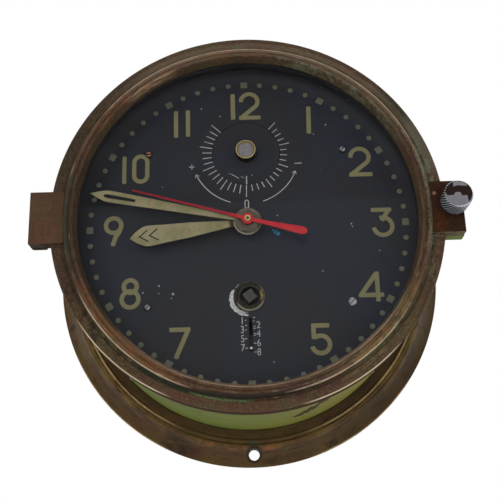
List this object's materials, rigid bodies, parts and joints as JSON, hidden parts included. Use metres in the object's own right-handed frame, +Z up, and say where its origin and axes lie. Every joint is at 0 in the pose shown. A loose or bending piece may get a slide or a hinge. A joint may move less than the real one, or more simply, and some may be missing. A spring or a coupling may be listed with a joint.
{
  "type": "ship clock",
  "caption": "Round bulkhead clock with a hinged glazed bezel, knurled latch screw, painted drum case, mounting flange and a wound lever movement with sweep seconds.",
  "frame": {"origin": "centre of the circle of mounting holes, on the flange's back face, where it meets the wall", "axes": "+X to 3 o'clock, +Z up to 12 o'clock, the dial looks along -Y and the wall is on the +Y side"},
  "size_m": [0.1956, 0.1083, 0.1956],
  "materials": {
    "patina_brass": "aged",
    "hinge_brass": "aged",
    "drum_paint": "worn satin",
    "plate_brass": "satin",
    "wheel_brass": "polished",
    "steel": "satin",
    "blued_steel": "satin",
    "chrome": "polished, knurled",
    "dial_black": "matt",
    "hand_lume": "aged",
    "second_red": "satin",
    "pointer_white": "satin",
    "glass": "clear",
    "rubber": "matt"
  },
  "bodies": {
    "case": {"case_drum": "drum_paint", "mounting_flange": "patina_brass", "rear_cover": "plate_brass", "rear_cover_screws": "plate_brass", "case_hinge_lug": "patina_brass", "case_latch_lug": "drum_paint", "dial_plate": "dial_black", "dial_posts": "plate_brass", "dial_screws": "steel", "winding_bush": "dial_black", "rack_guides": "plate_brass", "centre_tube": "plate_brass", "front_plate": "plate_brass", "front_plate_screws": "steel", "back_plate": "plate_brass", "plate_pillars": "plate_brass", "plate_screws": "steel", "click_spring": "steel", "click_screw": "steel", "hairspring": "blued_steel"},
    "bezel": {"bezel_ring": "patina_brass", "bezel_glass": "glass", "glass_gasket": "rubber", "glass_retaining_ring": "plate_brass", "bezel_seal": "rubber", "bezel_hinge_block": "hinge_brass", "bezel_latch_block": "hinge_brass", "hinge_pin": "steel"},
    "screw_washer": {"thumb_screw_washer": "plate_brass"},
    "latch_screw": {"thumb_screw": "chrome"},
    "seconds": {"seconds_hand": "second_red", "seconds_wheel": "wheel_brass"},
    "third": {"third_wheel": "wheel_brass"},
    "minute_train": {"minute_arbor": "wheel_brass"},
    "intermediate": {"intermediate_wheel": "wheel_brass"},
    "barrel": {"mainspring_barrel": "wheel_brass", "barrel_cover": "wheel_brass", "mainspring": "blued_steel"},
    "escape": {"escape_wheel": "wheel_brass"},
    "minute": {"minute_hand": "hand_lume", "cannon_pinion": "steel"},
    "motion": {"motion_wheel": "wheel_brass"},
    "setting": {"setting_pinion": "steel"},
    "hour": {"hour_hand": "hand_lume", "hour_wheel": "wheel_brass"},
    "winding": {"barrel_arbor": "steel", "ratchet_wheel": "steel"},
    "reserve": {"reserve_wheel": "wheel_brass"},
    "reserve_pointer": {"reserve_rack": "pointer_white"},
    "ratchet_click": {"click": "steel"},
    "regulator": {"regulator_disc": "dial_black", "regulator_pinion": "plate_brass"},
    "index": {"regulator_index": "plate_brass"},
    "lever": {"pallet_lever": "steel"},
    "balance": {"balance_wheel": "wheel_brass"}
  },
  "joints": [
    {"name": "bezel_hinge", "type": "hinge", "parent": "case", "child": "bezel", "pos_m": [-0.0876, -0.0925, 0], "axis": [0, 0, -1], "range_deg": [0, 105]},
    {"name": "thumb_screw_travel", "type": "slide", "parent": "bezel", "child": "screw_washer", "axis": [0, -1, 0], "range_m": [0, 0.00421]},
    {"name": "thumb_screw_turn", "type": "hinge", "parent": "screw_washer", "child": "latch_screw", "pos_m": [0.0863, -0.0993, 0.0018], "axis": [0, -1, 0], "range_deg": [0, 2160]},
    {"name": "seconds_spin", "type": "hinge", "parent": "case", "child": "seconds", "pos_m": [0, -0.0805, 0], "axis": [0, 1, 0], "continuous": true},
    {"name": "third_spin", "type": "hinge", "parent": "case", "child": "third", "pos_m": [0.00679, -0.0805, 0.01179], "axis": [0, 1, 0], "continuous": true},
    {"name": "minute_arbor_spin", "type": "hinge", "parent": "case", "child": "minute_train", "pos_m": [0.02449, -0.0805, 0.00851], "axis": [0, 1, 0], "continuous": true},
    {"name": "intermediate_spin", "type": "hinge", "parent": "case", "child": "intermediate", "pos_m": [0.01928, -0.0805, -0.00872], "axis": [0, 1, 0], "continuous": true},
    {"name": "barrel_spin", "type": "hinge", "parent": "case", "child": "barrel", "pos_m": [0, -0.0805, -0.0317], "axis": [0, 1, 0], "continuous": true},
    {"name": "escape_spin", "type": "hinge", "parent": "case", "child": "escape", "pos_m": [-0.00714, -0.0805, 0.0111], "axis": [0, 1, 0], "continuous": true},
    {"name": "minute_spin", "type": "hinge", "parent": "case", "child": "minute", "pos_m": [0, -0.0805, 0], "axis": [0, 1, 0], "continuous": true},
    {"name": "motion_spin", "type": "hinge", "parent": "case", "child": "motion", "pos_m": [0.0143, -0.0805, -0.00167], "axis": [0, 1, 0], "continuous": true},
    {"name": "setting_spin", "type": "hinge", "parent": "case", "child": "setting", "pos_m": [0.02449, -0.0805, 0.00851], "axis": [0, 1, 0], "continuous": true},
    {"name": "hour_spin", "type": "hinge", "parent": "case", "child": "hour", "pos_m": [0, -0.0805, 0], "axis": [0, 1, 0], "continuous": true},
    {"name": "winding_turn", "type": "hinge", "parent": "case", "child": "winding", "pos_m": [0, -0.0805, -0.0317], "axis": [0, 1, 0], "range_deg": [0, 2300]},
    {"name": "reserve_spin", "type": "hinge", "parent": "case", "child": "reserve", "pos_m": [-0.0035, -0.0805, -0.05139], "axis": [0, 1, 0], "range_deg": [-576, 0]},
    {"name": "reserve_slide", "type": "slide", "parent": "case", "child": "reserve_pointer", "axis": [0, 0, 1], "range_m": [0, 0.0122]},
    {"name": "click_rock", "type": "hinge", "parent": "case", "child": "ratchet_click", "pos_m": [-0.0142, -0.0805, -0.0267], "axis": [0, 1, 0], "range_deg": [0, 8], "stiffness_Nm_per_rad": 0.002},
    {"name": "regulator_turn", "type": "hinge", "parent": "case", "child": "regulator", "pos_m": [0, -0.0805, 0.0348], "axis": [0, 1, 0], "range_deg": [-133, 133]},
    {"name": "index_swing", "type": "hinge", "parent": "case", "child": "index", "pos_m": [-0.018, -0.0805, 0.028], "axis": [0, 1, 0], "range_deg": [-33.5, 33.5]},
    {"name": "lever_rock", "type": "hinge", "parent": "case", "child": "lever", "pos_m": [-0.01092, -0.0805, 0.01699], "axis": [0, 1, 0], "range_deg": [-5, 5]},
    {"name": "balance_swing", "type": "hinge", "parent": "case", "child": "balance", "pos_m": [-0.018, -0.0805, 0.028], "axis": [0, 1, 0], "range_deg": [-270, 270], "stiffness_Nm_per_rad": 0.00003}
  ],
  "couplings": [
    {"joint": "thumb_screw_travel", "follows": "thumb_screw_turn", "m_per_rad": 0.00011141},
    {"joint": "third_spin", "follows": "seconds_spin", "ratio": -0.13333},
    {"joint": "minute_arbor_spin", "follows": "seconds_spin", "ratio": 0.016667},
    {"joint": "intermediate_spin", "follows": "seconds_spin", "ratio": -0.0041667},
    {"joint": "barrel_spin", "follows": "seconds_spin", "ratio": 0.00059524},
    {"joint": "escape_spin", "follows": "seconds_spin", "ratio": -10},
    {"joint": "motion_spin", "follows": "minute_spin", "ratio": -0.33333},
    {"joint": "setting_spin", "follows": "minute_spin", "ratio": 1},
    {"joint": "hour_spin", "follows": "minute_spin", "ratio": 0.083333},
    {"joint": "reserve_spin", "follows": "winding_turn", "ratio": -0.25},
    {"joint": "reserve_slide", "follows": "winding_turn", "m_per_rad": 0.0003017},
    {"joint": "index_swing", "follows": "regulator_turn", "ratio": -0.25}
  ]
}
